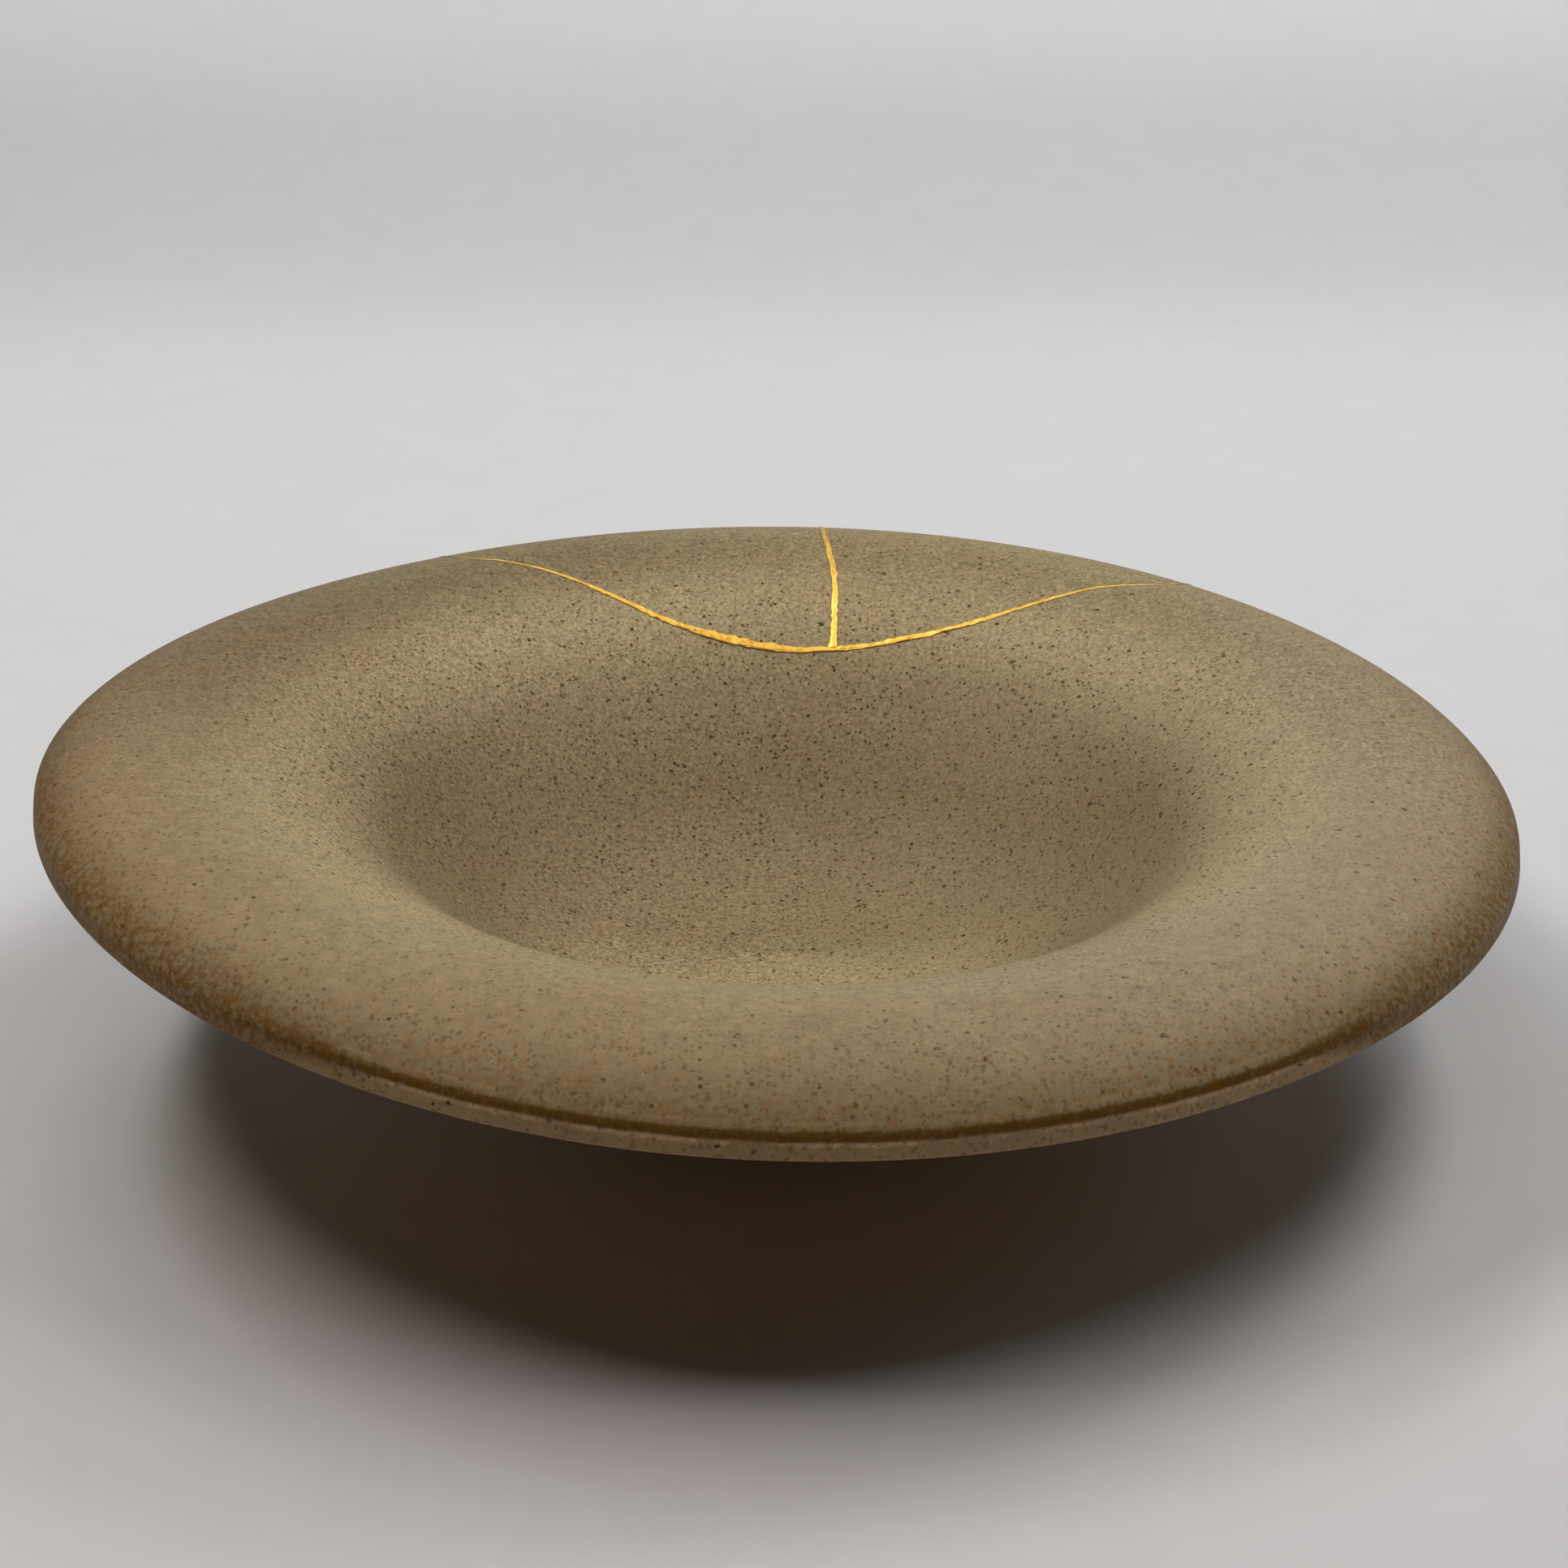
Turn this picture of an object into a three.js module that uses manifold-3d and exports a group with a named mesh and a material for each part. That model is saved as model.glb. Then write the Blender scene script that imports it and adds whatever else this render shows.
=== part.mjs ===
// A wide stoneware bowl with a rounded, turned-down brim and a deep round well. The far side of its
// brim once broke off in two shards, and gold lacquer holds them: one long bell-shaped seam and one
// short seam that runs out from it to the lip.
//
// Millimetres, +Z up. The origin is on the table, under the middle of the foot. +X is to the right
// and +Y is the far side, where the mend is.

import * as THREE from 'three';
import { mergeVertices } from 'three/addons/utils/BufferGeometryUtils.js';
import Module from 'manifold-3d';

const wasm = await Module();
wasm.setup();

// The upper face: from the floor of the well up its wall, over the crest of the brim, down to the lip
const rimRadius = 190;
const ridgeHeight = 71;
const crestRadius = 158.5;
const crestRise = 12.3;
const wallRadius = 102.5;
const wallDrop = 12.7;
const wallAngle = 41;
const rimAngle = 53;

// How far each bend of that face reaches from its end points
const floorBend = 38;
const lowerWallBend = 51.5;
const upperWallBend = 30;
const innerCrestBend = 6.2;
const outerCrestBend = 7.3;
const rimBend = 13.2;

// The lip: a nearly upright band under the sharp ridge, with a round lower edge
const lipDrop = 5.8;
const lipFlare = 0.6;
const lipRound = 1.2;

// Wall thicknesses, measured square to the upper face
const floorThickness = 10.5;
const footWallThickness = 10.5;
const brimThickness = 6;

// The foot ring and the shallow dome inside it
const footRadius = 52;
const footWidth = 7.5;
const footHeight = 9.5;
const footTaper = 2.5;
const footBevel = 1;
const footDome = 1.5;

// The kiln's warp of the brim: it starts outside levelRadius and is full at the lip. The left is
// higher than the right, and saddle, wave and oval add bends of two, three and two lobes.
const levelRadius = 57;
const warpPower = 1.5;
const leanRise = 8.2;
const saddleRise = 2.2;
const saddleAngle = 17;
const waveRise = 1.25;
const waveAngle = -40;
const ovalGrowth = 2.9;
const ovalAngle = 41;

// The mend: the seams' widths in the middle and at the lip, how far the lacquer stands out of the
// glaze, the gap between lacquer and stoneware, and how far the cracks' sheets pass the crest
const seamWidth = 2.8;
const seamEndWidth = 1.3;
const branchWidth = 2.1;
const branchEndWidth = 1.6;
const seamProud = 0.4;
const seamGap = 0.3;
const sheetMargin = 5;

// The cracks as seen from above, in shares of rimRadius. They run on past the lip at their ends.
const longCrack = [
  [-0.64, 0.98], [-0.567, 0.82], [-0.534, 0.747], [-0.49, 0.706], [-0.433, 0.691], [-0.36, 0.676],
  [-0.27, 0.643], [-0.19, 0.613], [-0.1, 0.594], [0, 0.582], [0.1, 0.58], [0.2, 0.584], [0.3, 0.594],
  [0.4, 0.616], [0.48, 0.636], [0.555, 0.642], [0.602, 0.664], [0.636, 0.725], [0.665, 0.81], [0.7, 0.94],
];
const branchCrack = [
  [0.075, 0.582], [0.0785, 0.65], [0.077, 0.73], [0.066, 0.82], [0.061, 0.9], [0.055, 1.1],
];

// Facets: round the axis, along the three curves of the upper face, round the lip's lower edge and
// along the cracks
const roundFacets = 90;
const wellFacets = 6;
const shoulderFacets = 5;
const brimFacets = 5;
const lipFacets = 2;
const longCrackFacets = 34;
const branchCrackFacets = 9;

// Corners closer than this are one corner
const sameCorner = 1e-4;

const { degToRad, lerp, clamp } = THREE.MathUtils;

// The point at a distance from another, in a direction given in degrees above the level
function along(point, degrees, distance) {
  const angle = degToRad(degrees);
  return new THREE.Vector2(point.x + distance * Math.cos(angle), point.y + distance * Math.sin(angle));
}

// The upper face as three curves that meet smoothly, with the facets that each one needs
function upperFace() {
  const floor = new THREE.Vector2(0, footHeight + floorThickness);
  const wall = new THREE.Vector2(wallRadius, ridgeHeight - wallDrop);
  const crest = new THREE.Vector2(crestRadius, ridgeHeight + crestRise);
  const ridge = new THREE.Vector2(rimRadius, ridgeHeight);
  const well = new THREE.CubicBezierCurve(
    floor, along(floor, 0, floorBend), along(wall, wallAngle, -lowerWallBend), wall,
  );
  const shoulder = new THREE.CubicBezierCurve(
    wall, along(wall, wallAngle, upperWallBend), along(crest, 0, -innerCrestBend), crest,
  );
  const brim = new THREE.CubicBezierCurve(
    crest, along(crest, 0, outerCrestBend), along(ridge, -rimAngle, -rimBend), ridge,
  );
  return [
    { curve: well, facets: wellFacets },
    { curve: shoulder, facets: shoulderFacets },
    { curve: brim, facets: brimFacets },
  ];
}

// The wall thins evenly from the foot to the lip
function thicknessAt(radius) {
  const share = clamp((radius - footRadius) / (rimRadius - footRadius), 0, 1);
  return lerp(footWallThickness, brimThickness, share);
}

// A point of a curve, moved square to it: up by a positive distance, down by a negative one
function offsetPoint(curve, share, distance) {
  const point = curve.getPoint(share);
  const tangent = curve.getTangent(share);
  return new THREE.Vector2(point.x - tangent.y * distance, point.y + tangent.x * distance);
}

function lowerPoint(curve, share, proud) {
  return offsetPoint(curve, share, -thicknessAt(curve.getPoint(share).x) - proud);
}

// Where on the well's curve the lower face is at a radius, found by halving the stretch
function shareAtLowerRadius(curve, radius) {
  let low = 0;
  let high = 1;
  while (lowerPoint(curve, high, 0).x - lowerPoint(curve, low, 0).x > sameCorner) {
    const middle = (low + high) / 2;
    if (lowerPoint(curve, middle, 0).x < radius) {
      low = middle;
    } else {
      high = middle;
    }
  }
  return high;
}

// The foot ring, from the middle of its dome to where its outer side meets the wall
function footOutline() {
  const innerRadius = footRadius - footWidth;
  return [
    new THREE.Vector2(0, footHeight),
    new THREE.Vector2(innerRadius - footTaper, footHeight - footDome),
    new THREE.Vector2(innerRadius, footBevel),
    new THREE.Vector2(innerRadius + footBevel, 0),
    new THREE.Vector2(footRadius - footBevel, 0),
    new THREE.Vector2(footRadius, footBevel),
  ];
}

// The lip's lower edge and upright band, from the lower face up to just under the ridge
function lipOutline(proud) {
  const centre = new THREE.Vector2(
    rimRadius + lipFlare - lipRound,
    ridgeHeight - lipDrop + lipRound,
  );
  const reach = lipRound + proud;
  const edge = new THREE.EllipseCurve(centre.x, centre.y, reach, reach, -Math.PI / 2, 0);
  return edge.getPoints(lipFacets);
}

// Half of the bowl's section, from the axis under the floor round to the axis on the floor. proud
// grows the wall on both faces.
function section(proud) {
  const [well, shoulder, brim] = upperFace();
  const outline = footOutline();
  const footShare = shareAtLowerRadius(well.curve, footRadius + footTaper);
  outline.push(lowerPoint(well.curve, footShare, proud));
  for (const { curve, facets } of [well, shoulder, brim]) {
    const first = curve === well.curve ? footShare : 0;
    for (let facet = 1; facet <= facets; facet += 1) {
      outline.push(lowerPoint(curve, lerp(first, 1, facet / facets), proud));
    }
  }
  outline.push(...lipOutline(proud));
  for (const { curve, facets } of [brim, shoulder, well]) {
    for (let facet = facets; facet > 0; facet -= 1) {
      outline.push(offsetPoint(curve, facet / facets, proud));
    }
  }
  outline.push(new THREE.Vector2(0, footHeight + floorThickness + proud));
  return outline;
}

// Bends a bowl that was turned true into its warped shape
function warp(geometry) {
  const positions = geometry.getAttribute('position');
  for (let index = 0; index < positions.count; index += 1) {
    const x = positions.getX(index);
    const y = positions.getY(index);
    const radius = Math.hypot(x, y);
    const angle = Math.atan2(y, x);
    const grow = (Math.max(radius - levelRadius, 0) / (rimRadius - levelRadius)) ** warpPower;
    const rise = -leanRise * Math.cos(angle)
      + saddleRise * Math.cos(2 * (angle - degToRad(saddleAngle)))
      + waveRise * Math.cos(3 * (angle - degToRad(waveAngle)));
    const oval = (ovalGrowth / rimRadius) * Math.cos(2 * (angle - degToRad(ovalAngle)));
    const spread = 1 + oval * (radius / rimRadius) ** 2;
    positions.setXYZ(index, x * spread, y * spread, positions.getZ(index) + rise * grow);
  }
  return geometry;
}

// A closed three.js geometry as a solid: equal corners joined, triangles without area left out
function toSolid(geometry) {
  const bare = geometry.clone();
  bare.deleteAttribute('normal');
  bare.deleteAttribute('uv');
  const merged = mergeVertices(bare, sameCorner);
  const corners = merged.getIndex().array;
  const kept = [];
  for (let start = 0; start < corners.length; start += 3) {
    const [a, b, c] = corners.slice(start, start + 3);
    if (a !== b && b !== c && c !== a) {
      kept.push(a, b, c);
    }
  }
  return new wasm.Manifold(new wasm.Mesh({
    numProp: 3,
    vertProperties: new Float32Array(merged.getAttribute('position').array),
    triVerts: new Uint32Array(kept),
  }));
}

function toMesh(name, solid, material) {
  const { vertProperties, triVerts } = solid.getMesh();
  const geometry = new THREE.BufferGeometry();
  geometry.setAttribute('position', new THREE.BufferAttribute(new Float32Array(vertProperties), 3));
  geometry.setIndex(new THREE.BufferAttribute(new Uint32Array(triVerts), 1));
  geometry.computeVertexNormals();
  const mesh = new THREE.Mesh(geometry, material);
  mesh.name = name;
  return mesh;
}

// The whole bowl as one solid, as it was before it broke
function wholeBowl(proud) {
  const turned = new THREE.LatheGeometry(section(proud), roundFacets);
  turned.rotateX(Math.PI / 2);
  return toSolid(warp(turned));
}

// An upright sheet that follows a crack, from the table to above the highest crest
function crackSheet(points, facets, widthAt, clearance) {
  const path = new THREE.SplineCurve(
    points.map(([x, y]) => new THREE.Vector2(x * rimRadius, y * rimRadius)),
  );
  const left = [];
  const right = [];
  for (let facet = 0; facet <= facets; facet += 1) {
    const share = facet / facets;
    const centre = path.getPointAt(share);
    const tangent = path.getTangentAt(share);
    const reach = widthAt(share) / 2 + clearance;
    const side = new THREE.Vector2(-tangent.y, tangent.x).multiplyScalar(reach);
    left.push(centre.clone().add(side));
    right.push(centre.clone().sub(side));
  }
  const outline = new THREE.Shape([...right, ...left.reverse()]);
  const depth = ridgeHeight + crestRise + leanRise + saddleRise + waveRise + sheetMargin;
  return toSolid(new THREE.ExtrudeGeometry(outline, { depth, bevelEnabled: false }));
}

// Both cracks together: full width in the middle of the long one, narrow at the lip
function cracks(clearance) {
  const longWidth = (share) => lerp(seamEndWidth, seamWidth, Math.sin(Math.PI * share) ** 2);
  const shortWidth = (share) => lerp(branchWidth, branchEndWidth, share);
  const long = crackSheet(longCrack, longCrackFacets, longWidth, clearance);
  const short = crackSheet(branchCrack, branchCrackFacets, shortWidth, clearance);
  return long.add(short);
}

// The sound bowl first, then the left and the right shard
function brokenPieces() {
  const pieces = wholeBowl(0).subtract(cracks(seamGap)).decompose();
  pieces.sort((one, other) => other.volume() - one.volume());
  const [body, ...shards] = pieces;
  shards.sort((one, other) => one.boundingBox().min[0] - other.boundingBox().min[0]);
  return [body, ...shards];
}

function goldLacquer() {
  return wholeBowl(seamProud).intersect(cracks(0));
}

function glaze() {
  return new THREE.MeshStandardMaterial({ color: 0x8d7c60, roughness: 0.5, metalness: 0 });
}

function gold() {
  return new THREE.MeshStandardMaterial({ color: 0xc79a48, roughness: 0.35, metalness: 1 });
}

function bowl() {
  const group = new THREE.Group();
  const [body, leftShard, rightShard] = brokenPieces();
  group.add(toMesh('bowl_body', body, glaze()));
  group.add(toMesh('rim_shard_left', leftShard, glaze()));
  group.add(toMesh('rim_shard_right', rightShard, glaze()));
  group.add(toMesh('gold_seam', goldLacquer(), gold()));
  return group;
}

const group = bowl();

export default group;
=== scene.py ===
"""A wide stoneware bowl with a rounded, turned-down brim and a deep round well.

The far side of its brim broke off in two shards, and gold lacquer holds them. Metres, +Z up, with
the origin on the table under the middle of the foot. +X is to the right and +Y is the far side.
"""

import math

import bmesh
import bpy
import numpy as np
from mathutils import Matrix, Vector, noise
from mathutils.geometry import interpolate_bezier


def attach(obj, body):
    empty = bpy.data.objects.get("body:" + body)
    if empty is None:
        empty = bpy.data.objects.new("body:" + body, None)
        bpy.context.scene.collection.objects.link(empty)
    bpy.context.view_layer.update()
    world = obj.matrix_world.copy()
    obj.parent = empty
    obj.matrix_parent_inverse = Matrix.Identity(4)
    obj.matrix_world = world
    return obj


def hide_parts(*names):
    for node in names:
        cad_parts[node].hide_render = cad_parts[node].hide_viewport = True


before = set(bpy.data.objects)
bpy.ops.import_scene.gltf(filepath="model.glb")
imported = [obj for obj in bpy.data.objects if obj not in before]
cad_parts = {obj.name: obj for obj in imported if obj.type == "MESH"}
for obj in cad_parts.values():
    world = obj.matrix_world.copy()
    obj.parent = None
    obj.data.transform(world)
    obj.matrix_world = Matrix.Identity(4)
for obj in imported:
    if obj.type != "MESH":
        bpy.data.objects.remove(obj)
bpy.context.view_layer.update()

bl_info = {
    "name": "Gold-mended bowl",
    "version": (1, 0, 0),
    "blender": (4, 5, 0),
    "location": "3D View > Sidebar > Bowl",
    "description": "Builds a warped stoneware bowl and the gold seams of its mend",
    "category": "Object",
}

MM = 0.001
AXIS = Vector((0, 0, 1))

# Two faces that meet at more than this angle have a sharp edge between them
SHARP_ANGLE = math.radians(40)

# Faces along each small curve of the foot and the lip
ROUND_STEPS = 6

# Corners of the turned mesh that are closer than this are one
MERGE_DISTANCE = 1e-7

# The cracks as seen from above, in shares of the rim radius. They run on past the lip at both ends.
LONG_CRACK = [
    (-0.64, 0.98), (-0.567, 0.82), (-0.534, 0.747), (-0.49, 0.706), (-0.433, 0.691), (-0.36, 0.676),
    (-0.27, 0.643), (-0.19, 0.613), (-0.1, 0.594), (0, 0.582), (0.1, 0.58), (0.2, 0.584), (0.3, 0.594),
    (0.4, 0.616), (0.48, 0.636), (0.555, 0.642), (0.602, 0.664), (0.636, 0.725), (0.665, 0.81),
    (0.7, 0.94),
]
BRANCH_CRACK = [
    (0.075, 0.582), (0.0785, 0.65), (0.077, 0.73), (0.066, 0.82), (0.061, 0.9), (0.055, 1.1),
]

# How wide the brush was pressed: the share of a crack's length, and the share of the seam's width
LONG_BRUSH = [
    (0, 0.6), (0.05, 0.6), (0.15, 0.24), (0.21, 0.38), (0.285, 0.68), (0.4, 1.15), (0.44, 1.6),
    (0.49, 1), (0.62, 0.95), (0.7, 0.65), (0.76, 0.42), (0.81, 0.25), (0.92, 0.6), (1, 0.6),
]
BRANCH_BRUSH = [(0, 1.5), (0.06, 1.1), (0.3, 1), (0.75, 0.85), (1, 0.85)]

# Steps between two points of a crack, for the sheet that cuts it and for the lacquer over it
SHEET_STEPS = 5
SEAM_STEPS = 24

# A crack's sheet starts at this height, and is this much taller than the ridge is high
SHEET_START = -5 * MM
SHEET_SPARE = 50 * MM

# Unevenness along a seam, of its height, its edges and the streaks on its top. Each wave has its
# strength, its length in millimetres and a number that sets its noise apart, and so has each edge
SWELL = [(0.35, 9, 0), (0.3, 2, 5)]
RAGGED = [(0.3, 7, 0), (0.38, 1.8, 3)]
STREAKS = [(0.4, 3, 31)]
RIGHT_EDGE = 11
LEFT_EDGE = 23

# How far apart the noises of two neighbouring streaks are
STREAK_GAP = 2.3

# The lower it is, the flatter the lacquer's top
BEAD_ROUNDNESS = 0.6

# Blushed patches as seen from above: millimetres to the right and to the back, reach in
# millimetres, strength
ROSE_PATCHES = [
    (-167, 2, 30, 0.8), (-156, 38, 28, 0.7), (-129, 57, 20, 0.5), (-118, 80, 20, 0.5),
    (-174, -48, 28, 1), (-160, -80, 24, 0.9), (-137, -114, 24, 0.8),
    (-76, -4, 21, 1), (-53, 23, 27, 0.8), (-23, 57, 18, 0.9), (-19, 27, 24, 0.6), (19, 30, 24, 0.6),
    (-38, -2, 22, 0.6), (47, 76, 17, 0.6), (10, 88, 15, 0.6), (19, 62, 11, 0.6), (80, 38, 13, 0.6),
    (61, -8, 13, 0.6), (-10, -45, 30, 0.7), (40, -60, 25, 0.5), (30, 135, 40, 0.35),
    (-57, 132, 20, 0.35), (168, -60, 26, 0.4), (-40, -168, 22, 0.8), (-75, -158, 20, 0.7),
    (15, -172, 25, 0.5), (60, -165, 22, 0.5),
]

# Where painted shade darkens the brim: degrees from the right, where the shade starts and where it is
# full as cosines of the turn away from there, strength
PAINTED_SHADE_SIDES = [(135, 0.3, 0.95, 0.17), (145, 0.6, 0.98, 0.12), (180, 0.5, 1.0, 0.05), (38, 0.6, 0.98, 0.08)]

# The lamps: name, degrees to the right and to the back as seen from the bowl, width and depth in
# metres, share of the power, tint
LAMPS = [
    ("left_lamp", -27, 4.5, 1.1, 0.2, 0.28, (1.08, 0.98, 0.92)),
    ("right_lamp", 25.5, 4.5, 1.1, 0.2, 0.175, (1.05, 1.0, 0.95)),
    ("back_right_lamp", 34, 35, 0.8, 0.5, 0.34, (0.97, 1.0, 1.03)),
    ("back_left_lamp", -19.5, 30, 0.8, 0.42, 0.16, (0.84, 1.02, 1.1)),
    ("front_lamp", 0, -13, 0.9, 0.42, 0.05, (1.15, 0.97, 0.95)),
    ("side_lamp", 56, 8, 0.7, 0.7, 0.04, (0.92, 1.0, 1.08)),
]


def length(name, description, millimetres):
    return bpy.props.FloatProperty(
        name=name, description=description, default=millimetres * MM, unit="LENGTH", precision=5
    )


def angle(name, description, degrees):
    return bpy.props.FloatProperty(
        name=name, description=description, default=math.radians(degrees), subtype="ANGLE"
    )


def share(name, description, value):
    return bpy.props.FloatProperty(name=name, description=description, default=value)


def count(name, description, number):
    return bpy.props.IntProperty(name=name, description=description, default=number, min=1)


def colour(name, description, red, green, blue):
    return bpy.props.FloatVectorProperty(
        name=name, description=description, default=(red, green, blue), size=3, subtype="COLOR",
        min=0, max=1,
    )


class BowlShape(bpy.types.PropertyGroup):
    """The section of the bowl and its warp."""

    rim_radius: length("Rim radius", "From the axis to the lip's sharp edge", 190)
    ridge_height: length("Ridge height", "Height of the lip's sharp edge", 71)
    crest_radius: length("Crest radius", "Where the brim is highest", 158.5)
    crest_rise: length("Crest rise", "How far the crest is above the ridge", 12.28)
    wall_radius: length("Wall radius", "Where the well's wall is steepest", 102.5)
    wall_drop: length("Wall drop", "How far that place is below the ridge", 12.7)
    wall_angle: angle("Wall angle", "Slope of the wall there", 41)
    rim_angle: angle("Rim angle", "Slope of the brim at the ridge", 53)
    floor_bend: length("Floor bend", "Reach of the floor's bend", 38)
    lower_wall_bend: length("Lower wall bend", "Reach of the bend under the wall", 51.5)
    upper_wall_bend: length("Upper wall bend", "Reach of the bend over the wall", 30)
    inner_crest_bend: length("Inner crest bend", "Reach of the bend inside the crest", 6.2)
    outer_crest_bend: length("Outer crest bend", "Reach of the bend outside the crest", 7.3)
    rim_bend: length("Rim bend", "Reach of the bend at the ridge", 13.2)
    lip_drop: length("Lip drop", "From the ridge to the lip's lower edge", 5.8)
    lip_flare: length("Lip flare", "How far the lip's band leans out", 0.6)
    lip_round: length("Lip round", "Radius of the lip's lower edge", 1.2)
    ridge_round: length("Ridge round", "How far the ridge is worn round", 1.1)
    floor_thickness: length("Floor thickness", "Clay under the middle of the well", 10.5)
    foot_wall_thickness: length("Foot wall thickness", "Wall thickness over the foot", 10.5)
    brim_thickness: length("Brim thickness", "Wall thickness at the lip", 6)
    foot_radius: length("Foot radius", "Outer radius of the foot ring", 52)
    foot_width: length("Foot width", "Width of the foot ring", 7.5)
    foot_height: length("Foot height", "Depth of the hollow in the foot", 9.5)
    foot_taper: length("Foot taper", "How far the foot leans out as it rises", 2.5)
    foot_bevel: length("Foot bevel", "Worn edges of the foot ring", 1)
    foot_dome: length("Foot dome", "Rise of the hollow's roof", 1.5)
    foot_fillet: length("Foot fillet", "Soft turn between the foot and the wall", 5)
    level_radius: length("Level radius", "Where the warp starts", 57)
    warp_power: share("Warp power", "How late the warp comes on", 1.5)
    lean_rise: length("Lean", "How far the left of the lip is raised", 8.2)
    saddle_rise: length("Saddle", "Height of the two-lobed bend", 2.2)
    saddle_angle: angle("Saddle angle", "Where the two-lobed bend is highest", 17)
    wave_rise: length("Wave", "Height of the three-lobed bend", 1.25)
    wave_angle: angle("Wave angle", "Where the three-lobed bend is highest", -40)
    oval_growth: length("Oval", "How far the lip is out of round", 2.9)
    oval_angle: angle("Oval angle", "Where the lip is widest", 41)
    turns: count("Turned steps", "Faces round the axis", 288)
    curve_steps: count("Curve steps", "Faces along each curve of the upper face", 26)


class MendShape(bpy.types.PropertyGroup):
    """The cracks and the gold lacquer that is brushed over them."""

    long_width: length("Long seam width", "Usual width of the long seam in its middle", 2.0)
    branch_width: length("Short seam width", "Usual width of the short seam", 1.9)
    crack_share: share("Crack share", "Width of a crack as a share of its seam", 0.55)
    height_share: share("Height share", "Height of the lacquer as a share of its width", 0.18)
    sink: length("Depth", "How far the lacquer's lower side dips into the crack", 0.35)
    step: length("Step", "Distance between two cross-sections of the lacquer", 0.5)
    sides: count("Sides", "Corners of a cross-section", 16)


class GlazeLook(bpy.types.PropertyGroup):
    """Colours of the glaze and of the bare clay."""

    olive: colour("Olive", "Most of the glaze", 0.345, 0.279, 0.142)
    rose: colour("Rose", "Blushed patches", 0.357, 0.243, 0.13)
    # This colour paints sheen on the right of the brim and greys the far wall of the well
    beige: colour("Beige", "Greyer glaze on the right of the brim", 0.35, 0.286, 0.168)
    brown: colour("Brown", "Thin glaze over the brim's outer slope", 0.245, 0.147, 0.058)
    ridge: colour("Ridge", "Iron where the glaze breaks over the ridge", 0.145, 0.066, 0.008)
    band: colour("Band", "The lip's band under the ridge", 0.56, 0.37, 0.2)
    toasted: colour("Toasted", "Thin glaze on the underside", 0.27, 0.155, 0.065)
    iron: colour("Iron", "Specks", 0.076, 0.038, 0.004)
    clay: colour("Clay", "Bare clay under the foot", 0.36, 0.235, 0.145)


class GoldLook(bpy.types.PropertyGroup):
    """Colours of the mend."""

    bright: colour("Bright gold", "Burnished gold", 1.0, 0.64, 0.12)
    deep: colour("Deep gold", "Thin gold over the lacquer", 0.78, 0.4, 0.045)
    # Also painted shade along the bead's edges
    lacquer: colour("Lacquer", "Brown lacquer along the edges", 0.12, 0.05, 0.01)


class StageLook(bpy.types.PropertyGroup):
    """Camera, floor and lights."""

    camera_distance: length("Camera distance", "From the middle of the lip to the camera", 912)
    camera_angle: angle("Camera angle", "The camera's height above the horizon", 22.92)
    aim_drop: length("Aim drop", "How far below the ridge the camera aims", 2.2)
    lens: share("Lens", "Focal length in millimetres on a sensor 36 mm wide", 80.1)
    paper: colour("Paper", "Floor and backdrop", 0.65, 0.65, 0.65)
    paper_front: length("Paper front", "How far the paper reaches towards the camera", 2500)
    paper_side: length("Paper side", "How far the paper reaches to each side", 3000)
    fold_start: length("Fold start", "How far behind the bowl the paper starts to rise", 700)
    fold_radius: length("Fold radius", "Radius of the paper's bend", 900)
    fold_steps: count("Fold steps", "Faces along the paper's bend", 24)
    paper_top: length("Paper top", "How far the paper goes on upright over the bend", 2000)
    lamp_height: length("Lamp height", "How high the lamps hang", 1500)
    lamp_power: share("Lamp power", "Power that the lamps take their shares of, in watts", 32.8)
    sky: share("Sky", "Strength of the even light from all sides", 0.022)
    sky_tint: colour("Sky tint", "Colour of the even light from all sides", 1.0, 0.9, 0.8)


def bezier(start, start_handle, end_handle, end, steps):
    return interpolate_bezier(start, start_handle, end_handle, end, steps + 1)


def along(point, degrees_up, distance):
    """The point at a distance in a direction above the level, in the plane of the section."""
    return point + Vector((math.cos(degrees_up), 0, math.sin(degrees_up))) * distance


def upper_face(shape):
    """The upper face from the axis to the ridge, as three curves that meet smoothly."""
    floor = Vector((0, 0, shape.foot_height + shape.floor_thickness))
    wall = Vector((shape.wall_radius, 0, shape.ridge_height - shape.wall_drop))
    crest = Vector((shape.crest_radius, 0, shape.ridge_height + shape.crest_rise))
    ridge = Vector((shape.rim_radius, 0, shape.ridge_height))
    steps = shape.curve_steps
    well = bezier(
        floor, along(floor, 0, shape.floor_bend),
        along(wall, shape.wall_angle, -shape.lower_wall_bend), wall, steps,
    )
    shoulder = bezier(
        wall, along(wall, shape.wall_angle, shape.upper_wall_bend),
        along(crest, 0, -shape.inner_crest_bend), crest, steps,
    )
    brim = bezier(
        crest, along(crest, 0, shape.outer_crest_bend),
        along(ridge, -shape.rim_angle, -shape.rim_bend), ridge, steps,
    )
    return well + shoulder[1:] + brim[1:]


def square_to(points):
    """Unit vectors square to a polyline in the plane of the section, pointing up where it runs out."""
    ahead = points[1:] + points[-1:]
    behind = points[:1] + points[:-1]
    runs = [(after - before).normalized() for before, after in zip(behind, ahead)]
    return [Vector((-run.z, 0, run.x)) for run in runs]


def lower_face(shape, upper):
    """The upper face moved down by the wall's thickness, from outside the foot to the lip."""
    span = shape.rim_radius - shape.foot_radius
    lower = []
    for point, up in zip(upper, square_to(upper)):
        out = min(max((point.x - shape.foot_radius) / span, 0), 1)
        thickness = shape.foot_wall_thickness + (shape.brim_thickness - shape.foot_wall_thickness) * out
        lower.append(point - up * thickness)
    edge = shape.foot_radius + shape.foot_taper + shape.foot_fillet
    return [point for point in lower if point.x > edge]


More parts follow.
